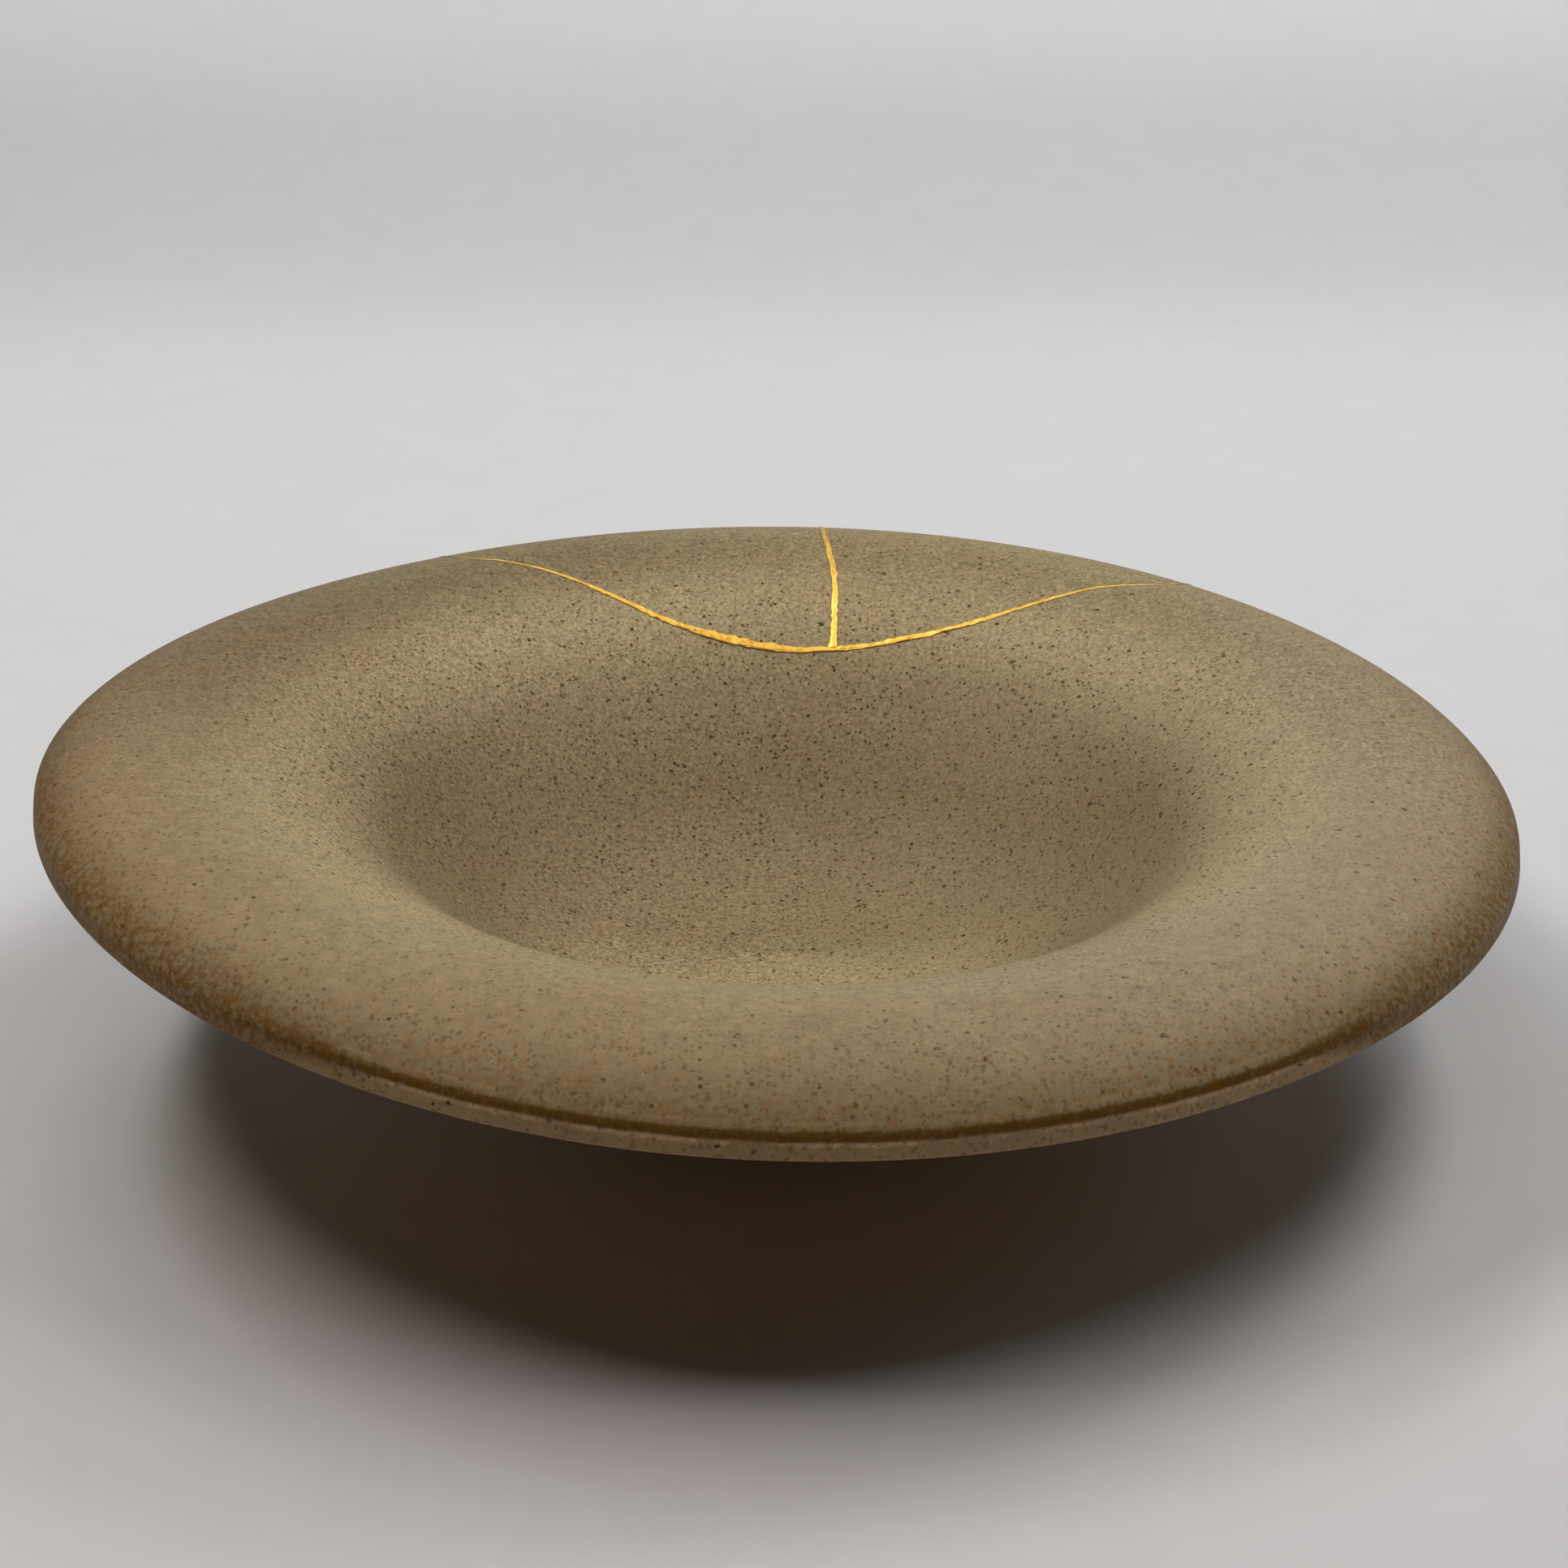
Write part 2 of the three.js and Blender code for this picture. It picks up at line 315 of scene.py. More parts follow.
def rounded(corners, steps):
    """A polyline whose corners are cut back by their own reach and turned into short curves."""
    points = []
    for index, (corner, reach) in enumerate(corners):
        if reach == 0:
            points.append(corner)
            continue
        start = corner + (corners[index - 1][0] - corner).normalized() * reach
        end = corner + (corners[index + 1][0] - corner).normalized() * reach
        points += bezier(start, start.lerp(corner, 2 / 3), end.lerp(corner, 2 / 3), end, steps)
    return points


def section(shape):
    """Half of the bowl's section, from the axis in the foot's hollow out, round the lip and back over
    the upper face to the axis, and the number of the point on the ridge."""
    upper = upper_face(shape)
    lower = lower_face(shape, upper)
    inner = shape.foot_radius - shape.foot_width
    roof = shape.foot_height - shape.foot_dome
    join = lower[0] - (lower[1] - lower[0]).normalized() * shape.foot_fillet
    out = shape.rim_radius + shape.lip_flare
    low = shape.ridge_height - shape.lip_drop
    ridge = Vector((shape.rim_radius, 0, shape.ridge_height))
    corners = [
        (Vector((0, 0, shape.foot_height)), 0),
        (Vector((inner - shape.foot_taper, 0, roof)), 3 * shape.foot_bevel),
        (Vector((inner, 0, 0)), shape.foot_bevel),
        (Vector((shape.foot_radius, 0, 0)), shape.foot_bevel),
        (Vector((shape.foot_radius + shape.foot_taper, 0, join.z)), shape.foot_fillet * 0.9),
    ]
    corners += [(point, 0) for point in lower]
    corners += [
        (Vector((out - 2 * shape.lip_round, 0, low)), 0.6 * shape.lip_round),
        (Vector((out, 0, low)), shape.lip_round),
    ]
    before_ridge = len(rounded(corners + [(ridge, 0)], ROUND_STEPS)) - 1
    clear = 2 * shape.ridge_round
    over = [point for point in reversed(upper[:-1]) if (point - upper[-1]).length > clear]
    corners += [(ridge, shape.ridge_round)] + [(point, 0) for point in over]
    return rounded(corners, ROUND_STEPS), before_ridge + ROUND_STEPS // 2


def wall_distances(points, ridge):
    """Distance of each point from the ridge along the section: up over the brim it is positive."""
    walked = [0.0]
    for before, after in zip(points, points[1:]):
        walked.append(walked[-1] + (after - before).length)
    return [distance - walked[ridge] for distance in walked]


def oval_at(shape, direction):
    """How much wider the lip is in a direction, as a share of the rim radius."""
    return shape.oval_growth / shape.rim_radius * math.cos(2 * (direction - shape.oval_angle))


def warped(shape, point):
    """Where a point of the true round bowl is after the kiln's warp."""
    radius = math.hypot(point.x, point.y)
    direction = math.atan2(point.y, point.x)
    outside = max(radius - shape.level_radius, 0) / (shape.rim_radius - shape.level_radius)
    rise = (
        -shape.lean_rise * math.cos(direction)
        + shape.saddle_rise * math.cos(2 * (direction - shape.saddle_angle))
        + shape.wave_rise * math.cos(3 * (direction - shape.wave_angle))
    )
    spread = 1 + oval_at(shape, direction) * (radius / shape.rim_radius) ** 2
    return Vector((point.x * spread, point.y * spread, point.z + rise * outside ** shape.warp_power))


def true_radius(shape, point):
    """The radius that a warped point had on the true round bowl."""
    radius = math.hypot(point.x, point.y)
    oval = oval_at(shape, math.atan2(point.y, point.x))
    return radius / (1 + oval * min(radius / shape.rim_radius, 1) ** 2)


def shade_smooth(mesh):
    """Shades a mesh smooth, apart from its sharp edges."""
    for polygon in mesh.polygons:
        polygon.use_smooth = True
    mesh.set_sharp_from_angle(angle=SHARP_ANGLE)


def new_object(name, bm):
    """A bmesh as an object that is shaded smooth."""
    mesh = bpy.data.meshes.new(name)
    bm.to_mesh(mesh)
    bm.free()
    shade_smooth(mesh)
    piece = bpy.data.objects.new(name, mesh)
    bpy.context.scene.collection.objects.link(piece)
    return piece


def turn_bowl(name, shape):
    """The whole bowl, turned and then warped. Its UV map holds the turn and the distance from the
    ridge along the section."""
    points, ridge = section(shape)
    walked = wall_distances(points, ridge)
    bm = bmesh.new()
    from_ridge = bm.verts.layers.float.new("from_ridge")
    verts = [bm.verts.new(point) for point in points]
    for vert, distance in zip(verts, walked):
        vert[from_ridge] = distance
    edges = [bm.edges.new(pair) for pair in zip(verts, verts[1:])]
    bmesh.ops.spin(
        bm, geom=verts + edges, cent=(0, 0, 0), axis=AXIS, angle=math.tau, steps=shape.turns,
        use_merge=True,
    )
    bmesh.ops.remove_doubles(bm, verts=bm.verts, dist=MERGE_DISTANCE)
    bmesh.ops.recalc_face_normals(bm, faces=bm.faces)
    wall_map = bm.loops.layers.uv.new("wall")
    for face in bm.faces:
        middle = face.calc_center_median()
        facing = math.atan2(middle.y, middle.x)
        for loop in face.loops:
            turn = facing
            if loop.vert.co.xy.length > MM:
                turn += math.remainder(math.atan2(loop.vert.co.y, loop.vert.co.x) - facing, math.tau)
            loop[wall_map].uv = (turn, loop.vert[from_ridge])
    for vert in bm.verts:
        vert.co = warped(shape, vert.co)
    return new_object(name, bm)


def catmull_rom(points, steps):
    """A smooth polyline through points in a plane."""
    knots = [Vector(point) for point in points]
    knots = knots[:1] + knots + knots[-1:]
    smooth = []
    for before, start, end, after in zip(knots, knots[1:], knots[2:], knots[3:]):
        for step in range(steps):
            t = step / steps
            smooth.append(
                0.5 * (2 * start + (end - before) * t
                       + (2 * before - 5 * start + 4 * end - after) * t ** 2
                       + (3 * start - before - 3 * end + after) * t ** 3)
            )
    return smooth + [knots[-1]]


def crack_path(shape, points, steps):
    """A crack as seen from above, in metres."""
    return [point * shape.rim_radius for point in catmull_rom(points, steps)]


def brushed(brush, width, at):
    """Width of a seam at a share of its crack's length."""
    return width * float(np.interp(at, *zip(*brush)))


def long_width(mend, at):
    return brushed(LONG_BRUSH, mend.long_width, at)


def branch_width(mend, at):
    return brushed(BRANCH_BRUSH, mend.branch_width, at)


def crack_sheet(name, shape, mend, points, width_at):
    """An upright sheet that follows a crack, from under the table to above the crest."""
    path = crack_path(shape, points, SHEET_STEPS)
    bm = bmesh.new()
    sides = []
    for index, point in enumerate(path):
        run = (path[min(index + 1, len(path) - 1)] - path[max(index - 1, 0)]).normalized()
        width = width_at(mend, index / (len(path) - 1)) * mend.crack_share
        reach = Vector((-run.y, run.x)) * width / 2
        sides.append([bm.verts.new((*spot, SHEET_START)) for spot in (point - reach, point + reach)])
    for (right, left), (next_right, next_left) in zip(sides, sides[1:]):
        bm.faces.new((left, right, next_right, next_left))
    raised = bmesh.ops.extrude_face_region(bm, geom=bm.faces[:])
    top = [item for item in raised["geom"] if isinstance(item, bmesh.types.BMVert)]
    bmesh.ops.translate(bm, verts=top, vec=AXIS * (shape.ridge_height + SHEET_SPARE))
    bmesh.ops.recalc_face_normals(bm, faces=bm.faces)
    return new_object(name, bm)


def combine(piece, other, operation):
    """Cuts a piece with another one or joins the two. The other one is used up."""
    modifier = piece.modifiers.new(operation, "BOOLEAN")
    modifier.operation = operation
    modifier.solver = "EXACT"
    modifier.object = other
    evaluated = piece.evaluated_get(bpy.context.evaluated_depsgraph_get())
    mesh = bpy.data.meshes.new_from_object(evaluated)
    piece.modifiers.clear()
    piece.data = mesh
    bpy.data.objects.remove(other)
    return piece


def crack_sheets(shape, mend):
    """The sheets of both cracks, joined."""
    long = crack_sheet("long_crack", shape, mend, LONG_CRACK, long_width)
    branch = crack_sheet("branch_crack", shape, mend, BRANCH_CRACK, branch_width)
    return combine(long, branch, "UNION")


def loose_parts(piece):
    """Splits a mesh into its separate bodies, the largest first."""
    bpy.ops.object.select_all(action="DESELECT")
    piece.select_set(True)
    bpy.context.view_layer.objects.active = piece
    bpy.ops.mesh.separate(type="LOOSE")
    return sorted(bpy.context.selected_objects, key=lambda part: -len(part.data.vertices))


class Wall:
    """Where the bowl's faces are: heights and normals over the true radius, and the lip between."""

    # How far outside the foot the lower face starts, and how far inside the ridge each face ends
    FOOT_GAP = 12 * MM
    LOWER_GAP = 4 * MM
    UPPER_GAP = MM

    def __init__(self, shape):
        self.shape = shape
        points, ridge = section(shape)
        normals = [-up for up in square_to(points)]
        radii = [point.x for point in points]
        start = next(i for i, radius in enumerate(radii) if radius > shape.foot_radius + self.FOOT_GAP)
        lip = next(i for i, radius in enumerate(radii) if radius > shape.rim_radius - self.LOWER_GAP)
        inside = shape.rim_radius - self.UPPER_GAP
        over = next(i for i, radius in enumerate(radii) if i > ridge and radius < inside)
        self.lower = self.table(points[start:lip + 1], normals[start:lip + 1])
        self.upper = self.table(points[:over - 1:-1], normals[:over - 1:-1])
        self.lip = list(zip(points, normals))[lip:over + 1]

    @staticmethod
    def table(points, normals):
        return np.array([(p.x, p.z, n.x, n.z) for p, n in zip(points, normals)]).T

    def station(self, face, spot):
        """The warped place and the normal over a point seen from above."""
        radius = true_radius(self.shape, spot)
        direction = math.atan2(spot.y, spot.x)
        height, out, up = (float(np.interp(radius, face[0], row)) for row in face[1:])
        return self.placed(Vector((radius, 0, height)), Vector((out, 0, up)), direction)

    def placed(self, point, normal, direction):
        round_axis = Vector((math.cos(direction), math.sin(direction), 0))
        spot = round_axis * point.x + AXIS * point.z
        return warped(self.shape, spot), (round_axis * normal.x + AXIS * normal.z).normalized()

    def lip_stations(self, direction):
        """Round the lip from its lower face to its upper face."""
        return [self.placed(point, normal, direction) for point, normal in self.lip]


def seam_route(wall, path, closed):
    """Stations round the wall along a crack: over the upper face, round the lip and back below. A
    closed route passes the lip at both ends of the crack, an open one only at the last."""
    top_edge = wall.upper[0].max()
    low_edge = wall.lower[0].max()
    radii = [true_radius(wall.shape, spot) for spot in path]
    over = [spot for spot, radius in zip(path, radii) if radius < top_edge]
    under = [spot for spot, radius in zip(path, radii) if radius < low_edge]
    last = math.atan2(over[-1].y, over[-1].x)
    first = math.atan2(over[0].y, over[0].x)
    route = [wall.station(wall.upper, spot) for spot in over]
    shares = [path.index(spot) / (len(path) - 1) for spot in over]
    lip = wall.lip_stations(last)[::-1]
    route += lip
    shares += [shares[-1]] * len(lip)
    route += [wall.station(wall.lower, spot) for spot in reversed(under)]
    shares += [path.index(spot) / (len(path) - 1) for spot in reversed(under)]
    if closed:
        lip = wall.lip_stations(first)
        route += lip
        shares += [shares[0]] * len(lip)
    return route, shares


def even_stations(route, shares, step, closed):
    """The same route with stations at an even distance, each with its place, normal and share."""
    if closed:
        route = route + route[:1]
        shares = shares + shares[:1]
    places = np.array([place for place, _ in route])
    normals = np.array([normal for _, normal in route])
    gaps = np.linalg.norm(np.diff(places, axis=0), axis=1)
    walked = np.concatenate(([0.0], np.cumsum(gaps)))
    number = int(walked[-1] / step)
    marks = np.linspace(0, walked[-1], number + 1)
    if closed:
        marks = marks[:-1]

    def resampled(rows):
        return [np.interp(marks, walked, column) for column in np.array(rows).T]

    spots = [Vector(spot) for spot in zip(*resampled(places))]
    ups = [Vector(up).normalized() for up in zip(*resampled(normals))]
    return spots, ups, list(np.interp(marks, walked, shares)), list(marks)


def wobble(distance, wave, seed):
    """Smooth noise between about -1 and 1 along a seam."""
    return noise.noise(Vector((distance / wave, seed, 0.37 * seed)))


def unevenness(waves, distance, seed):
    """The sum of some waves at a distance along a seam."""
    return sum(strength * wobble(distance, wave * MM, seed + own) for strength, wave, own in waves)


def add_bead(bm, wall, mend, points, width_at, closed, seed):
    """Sweeps the lacquer's bead along a crack, with brushed, uneven edges and top. Its UV map holds
    the distance along the seam and the share of the way round it."""
    route, shares = seam_route(wall, crack_path(wall.shape, points, SEAM_STEPS), closed)
    spots, ups, shares, marks = even_stations(route, shares, mend.step, closed)
    brush_map = bm.loops.layers.uv.get("brushed") or bm.loops.layers.uv.new("brushed")
    rings = []
    for index, (spot, up, at, mark) in enumerate(zip(spots, ups, shares, marks)):
        ahead = spots[(index + 1) % len(spots)] if closed else spots[min(index + 1, len(spots) - 1)]
        behind = spots[index - 1] if closed or index else spots[0]
        run = (ahead - behind).normalized()
        across = run.cross(up).normalized()
        width = width_at(mend, at)
        height = width * mend.height_share * (1 + unevenness(SWELL, mark, seed))
        ring = []
        for corner in range(mend.sides):
            turn = math.tau * corner / mend.sides
            side = math.cos(turn)
            lift = math.sin(turn)
            ragged = unevenness(RAGGED, mark, seed + (RIGHT_EDGE if side > 0 else LEFT_EDGE))
            streak = unevenness(STREAKS, mark, seed + STREAK_GAP * corner)
            flat = abs(lift) ** BEAD_ROUNDNESS
            rise = height * flat * (1 + streak) if lift > 0 else -mend.sink * flat
            ring.append(bm.verts.new(spot + across * (side * width / 2 * (1 + ragged)) + up * rise))
        rings.append(ring)
    pairs = list(zip(rings, rings[1:])) + ([(rings[-1], rings[0])] if closed else [])
    for number, (ring, following) in enumerate(pairs):
        for corner in range(mend.sides):
            after = (corner + 1) % mend.sides
            face = bm.faces.new((ring[corner], ring[after], following[after], following[corner]))
            turns = (corner, corner + 1, corner + 1, corner)
            for loop, turn, step in zip(face.loops, turns, (number, number, number + 1, number + 1)):
                loop[brush_map].uv = (step * mend.step, turn / mend.sides)
    if not closed:
        bm.faces.new(rings[0][::-1])
        bm.faces.new(rings[-1])


class Shade:
    """A value or colour inside a material. Arithmetic on a value adds Math nodes."""

    def __init__(self, maker, socket):
        self.maker = maker
        self.socket = socket

    def __add__(self, other):
        return self.maker.math("ADD", self, other)

    def __sub__(self, other):
        return self.maker.math("SUBTRACT", self, other)

    def __rsub__(self, other):
        return self.maker.math("SUBTRACT", other, self)

    def __mul__(self, other):
        return self.maker.math("MULTIPLY", self, other)

    def __truediv__(self, other):
        return self.maker.math("DIVIDE", self, other)

    def __pow__(self, other):
        return self.maker.math("POWER", self, other)

    __radd__ = __add__
    __rmul__ = __mul__


class Maker:
    """Builds one material's nodes. Places and sizes are in metres."""

    # A blotch is full to the first share of its reach and gone past the second
    BLOTCH_EDGE = (0.55, 1.35)

    # A speck fades between these millimetres from its radius
    SPECK_EDGE = (-0.1, 0.06)

    def __init__(self, name):
        self.material = bpy.data.materials.new(name)
        self.material.use_nodes = True
        self.tree = self.material.node_tree
        self.tree.nodes.clear()

    def node(self, kind, settings=None, inputs=None, output=0):
        """A node of a type: its settings come first, then the values or links of its sockets."""
        made = self.tree.nodes.new("ShaderNode" + kind)
        for key, value in (settings or {}).items():
            setattr(made, key, value)
        for key, value in (inputs or {}).items():
            if isinstance(value, Shade):
                self.tree.links.new(value.socket, made.inputs[key])
            else:
                made.inputs[key].default_value = value
        return Shade(self, made.outputs[output]) if made.outputs else None

    def math(self, operation, *values):
        return self.node("Math", {"operation": operation}, dict(enumerate(values)))

    def clamped(self, value):
        return self.node("Math", {"operation": "ADD", "use_clamp": True}, {0: value, 1: 0.0})

    def vector(self, operation, first, second, output=0):
        return self.node("VectorMath", {"operation": operation}, {0: first, 1: second}, output)

    def scaled(self, vector, factor):
        return self.node("VectorMath", {"operation": "SCALE"}, {0: vector, "Scale": factor})

    def along(self, vector, axis):
        return self.node("SeparateXYZ", {}, {"Vector": vector}, axis)

    def mix(self, factor, first, second):
        return self.node("Mix", {"data_type": "RGBA"}, {0: factor, 6: first, 7: second}, 2)

    def soft_step(self, value, low, high, start=0.0, end=1.0):
        """start below low, end above high and a smooth change between them."""
        limits = {"Value": value, "From Min": low, "From Max": high, "To Min": start, "To Max": end}
        return self.node("MapRange", {"interpolation_type": "SMOOTHSTEP"}, limits)

    def moved(self, place, seed):
        """The place shifted, so that noises with different seeds differ."""
        shift = 0.13 * seed
        return self.vector("ADD", place, (shift, shift * 0.7, shift * 1.3))

    def noise(self, place, size, detail, roughness, seed, output=0):
        """Cloudy noise from 0 to 1 whose features are about size across."""
        inputs = {"Scale": 1 / size, "Detail": detail, "Roughness": roughness}
        return self.node("TexNoise", {}, {"Vector": self.moved(place, seed), **inputs}, output)

    def shaken(self, place, size, amount, detail, seed):
        """The place moved about by up to amount, in waves of a size."""
        cloud = self.noise(place, size, detail, 0.65, seed, "Color")
        centred = self.vector("SUBTRACT", cloud, (0.5, 0.5, 0.5))
        return self.vector("ADD", place, self.scaled(centred, 2 * amount))

    def specks(self, place, cell, reach, seed, rarity=1.8):
        """Round specks, one to a cell. Their radii go up to reach, and rarity makes large ones rare."""
        inputs = {"Vector": self.moved(place, seed), "Scale": 1 / cell, "Randomness": 1.0}
        cells = self.node("TexVoronoi", {}, inputs).socket.node
        away = Shade(self, cells.outputs["Distance"]) * (cell / MM)
        lot = self.node("SeparateColor", {}, {"Color": Shade(self, cells.outputs["Color"])})
        return self.soft_step(away - lot ** rarity * (reach / MM), *self.SPECK_EDGE, 1.0, 0.0)

    def blotch(self, place, spot, reach):
        """1 inside a ball round a spot, 0 outside, with a soft edge."""
        away = self.vector("DISTANCE", place, spot, "Value")
        full, gone = self.BLOTCH_EDGE
        return self.soft_step(away, full * reach, gone * reach, 1.0, 0.0)

    def finish(self, **inputs):
        """The material with a shader that has these values, under its sockets' names."""
        sockets = {name.replace("_", " "): value for name, value in inputs.items()}
        shader = self.node("BsdfPrincipled", {}, sockets)
        self.node("OutputMaterial", {}, {"Surface": shader})
        return self.material


def opaque(value):
    return (*value, 1.0)


class WallMap:
    """Places on the bowl, and the grains that all layers of its glaze share.

    Directions are in degrees from the right: 90 is the far side, 180 the left and 270 the front.
    Distances go from the ridge along the section, in millimetres: positive over the brim and into
    the well, negative down the lip and under the bowl.
    """

    def __init__(self, make):
        self.make = make
        self.place = make.node("TexCoord", {}, {}, "Object")
        wall_map = make.node("UVMap", {"uv_map": "wall"})
        self.turn = make.along(wall_map, "X")
        self.above_ridge = make.along(wall_map, "Y") / MM

        self.left = self.facing(232, 0.3, 0.97)
        self.right = self.facing(325, 0.6, 0.99)
        self.front = self.facing(270, -0.3, 0.7)
        self.far = self.facing(90, 0.2, 0.9)
        self.side = 1 - self.facing(275, 0.64, 0.86)

        self.underside = self.below(-12.0, -6.5)
        self.lip = self.below(-1.4, -0.6)
        self.slope = self.below(14.0, 30.0)
        self.deep = self.over(38.0, 75.0)
        self.well = self.over(60.0, 105.0)
        self.well_floor = self.over(115.0, 170.0)
        self.far_wall = self.far * self.over(45.0, 75.0) * self.below(95.0, 135.0)

        self.grain = make.noise(self.place, 0.0011, 2.0, 0.75, 2.0)
        self.sprinkle = make.noise(self.place, 0.0018, 2.0, 0.8, 11.0)
        self.mottle = make.noise(self.place, 0.0042, 3.0, 0.7, 6.0)
        self.wander = make.noise(self.place, 0.006, 3.0, 0.7, 8.0)
        self.cloud = make.noise(self.place, 0.02, 4.0, 0.65, 9.0)
        self.drift = make.noise(self.place, 0.05, 3.0, 0.55, 1.0)
        self.patchy = (self.mottle - 0.5) * 1.8 + (self.sprinkle - 0.5) * 5 + (self.grain - 0.5) * 2
        rightward = make.math("COSINE", self.turn)
        self.sandy = 2.5 - self.front * (1 - self.deep) * 1.7 - rightward * self.deep * 0.6

    def facing(self, degrees, low, high):
        """1 on the side that lies in a direction, with a smooth change to 0. Low and high are
        cosines of the turn away from the direction."""
        return self.make.soft_step(self.make.math("COSINE", self.turn - math.radians(degrees)), low, high)

    def over(self, low, high):
        """0 below one distance from the ridge and 1 over another."""
        return self.make.soft_step(self.above_ridge, low, high)

    def below(self, low, high):
        """1 below one distance from the ridge and 0 over another."""
        return self.make.soft_step(self.above_ridge, low, high, 1.0, 0.0)

    def ring(self, middle, near, far, strength=1.0):
        """A ring round the bowl at a distance from the ridge, full to near and gone past far."""
        off = self.make.math("ABSOLUTE", self.above_ridge - middle)
        return self.make.soft_step(off, near, far, strength, 0.0)


def blushed(make, place):
    """Where the glaze is rosy: patches with ragged edges, the same on the upper and lower face."""
    level = make.vector("MULTIPLY", place, (1, 1, 0))
    ragged = make.shaken(level, 0.03, 0.026, 5.0, 3.0)
    rosy = 0.0
    for across, away, reach, strength in ROSE_PATCHES:
        rosy = make.blotch(ragged, (across * MM, away * MM, 0), reach * MM) * strength + rosy
    uneven = make.soft_step(make.noise(place, 0.012, 3.0, 0.6, 5.0), 0.3, 0.65, 0.55, 1.0)
    return make.clamped(rosy * uneven)


def thick_glaze(make, wall, look):
    """Olive glaze, with painted sheen greying the right of the brim, greyer on the far wall of the well,
    and with rosy patches.
    """
    # Painted sheen greys the right of the brim; the far wall of the well is greyer too
    grey_and_painted_sheen = wall.facing(335, 0.1, 0.9) * (1 - wall.well) * 0.9 + wall.far_wall * 0.4
    colour = make.mix(grey_and_painted_sheen, opaque(look.olive), opaque(look.beige))
    warm = wall.facing(185, 0.1, 0.9) * wall.well * (1 - wall.well_floor) * 0.4
    pink = wall.slope * make.soft_step(wall.cloud, 0.35, 0.6, 0.2, 0.7) * (1 - wall.right * 0.5)
    rosy = make.math("MAXIMUM", blushed(make, wall.place) * (1 - wall.well * 0.2), pink + warm)
    return make.mix(make.clamped(rosy * (1 + wall.patchy * 0.7)), colour, opaque(look.rose))


def thin_glaze(make, wall, look, colour):
    """Brown over the brim's outer slope and in small spots, and toasted under the bowl."""
    reach = 8 + wall.left * 13 + wall.right * 5 + wall.cloud * 16
    burnt = wall.below(-1.0, reach)
    strength = 0.42 + wall.left * 0.2 - wall.side * 0.03 + wall.lip * wall.side * 0.25
    burnt = make.clamped(burnt * (strength + wall.patchy * (1.2 - burnt * 0.4)))
    spotted = make.soft_step(wall.sprinkle, 0.52, 0.62) * (0.15 + wall.slope * 0.5)
    colour = make.mix(make.math("MAXIMUM", burnt, spotted), colour, opaque(look.brown))
    return make.mix(wall.underside, colour, opaque(look.toasted))


def broken_glaze(make, wall, look, colour):
    """The pale band of the lip, the dark line where the glaze breaks over the ridge, and a painted
    highlight, a pale line above it. At the sides the dark line widens and the pale band and the painted
    highlight are gone."""
    streak = wall.ring(-1.7, 0.1, 0.9, 0.8)
    band = 0.25 + make.soft_step(wall.cloud, 0.4, 0.6) * (0.1 + streak) + wall.patchy * 0.15
    band = make.clamped(wall.lip * (1 - wall.underside) * (1 - wall.side) * band)
    colour = make.mix(band, colour, opaque(look.band))
    off_ridge = make.math("ABSOLUTE", wall.above_ridge - 0.7 + wall.wander * 1.2 + wall.side * 0.6)
    line = make.soft_step(off_ridge, 0.6, 1.7 + wall.side * 14, 1.0, 0.0)
    line = make.clamped(line * (1 - wall.side * 0.5 + wall.patchy * (0.35 + wall.side * 0.15)))
    colour = make.mix(line, colour, opaque(look.ridge))
    # Painted highlight: a pale line along the rounded edge just above the ridge
    painted_highlight = wall.ring(2.9, 0.2, 0.9, 0.3) * (1 - wall.side)
    return make.mix(painted_highlight * make.soft_step(wall.wander, 0.35, 0.6), colour, opaque(look.band))


def freckled(make, wall, look, colour):
    """Iron specks of three sizes, a denser sprinkle on the brim, and dark dust."""
    uneven = make.shaken(wall.place, 0.0009, 0.0004, 0.0, 7.0)
    fine = make.specks(uneven, 0.0013, 0.00046, 0.0)
    middle = make.specks(uneven, 0.0019, 0.0006, 3.0)
    large = make.specks(uneven, 0.0036, 0.00078, 7.0)
    dense = make.specks(uneven, 0.0016, 0.00072, 12.0, 0.9) * (1 - wall.deep)
    freckles = fine * (0.2 + wall.deep * 0.65) + middle * (0.45 + wall.deep * 0.4)
    freckles = freckles + large * (0.62 + wall.deep * 0.18) + dense * (0.2 + wall.slope * 0.16)
    dust = make.clamped((0.5 - wall.grain) * wall.sandy)
    return make.mix(make.clamped(freckles + dust), colour, opaque(look.iron))


def mottling(make, wall):
    """The sandy, patchy lightness of the glaze, about 1."""
    tone = 1 + make.clamped(wall.grain - 0.5) * wall.sandy * 0.9 + (wall.drift - 0.5) * 0.14
    tone = tone + (wall.mottle - 0.5) * (0.75 - wall.deep * 0.45)
    return tone + (wall.sprinkle - 0.5) * (0.7 - wall.deep * 0.45)


def painted_shading(wall):
    """Painted light and shade: how much the glaze's colour is darkened or lightened from place to place,
    below 1. It is darker in the well, with painted light on its floor, its shoulder and the near slope,
    and painted shade on the brim towards some sides and on the well's left wall.
    """
    # Painted light on the well's shoulder except at the front, weaker on the far side, and painted light
    # on the well's floor towards the front and on the near slope
    shoulder = wall.ring(69, 8.0, 34.0) * (wall.side * 0.14 - wall.far * 0.08)
    shade = 0.93 - wall.well * 0.28 + wall.well_floor * (0.1 + wall.front * 0.24)
    shade = shade + wall.far_wall * 0.3 + shoulder + wall.slope * wall.front * 0.06
    # Painted shade on the brim towards some sides
    painted_dimming = 0.0
    for degrees, low, high, strength in PAINTED_SHADE_SIDES:
        painted_dimming = wall.facing(degrees, low, high) * strength + painted_dimming
    # Painted shade on the left wall of the well, away from its floor
    painted_wall_shade = wall.facing(165, 0.5, 1.0) * wall.deep * (1 - wall.well_floor) * 0.07
    return shade - painted_dimming * (1 - wall.deep) - painted_wall_shade


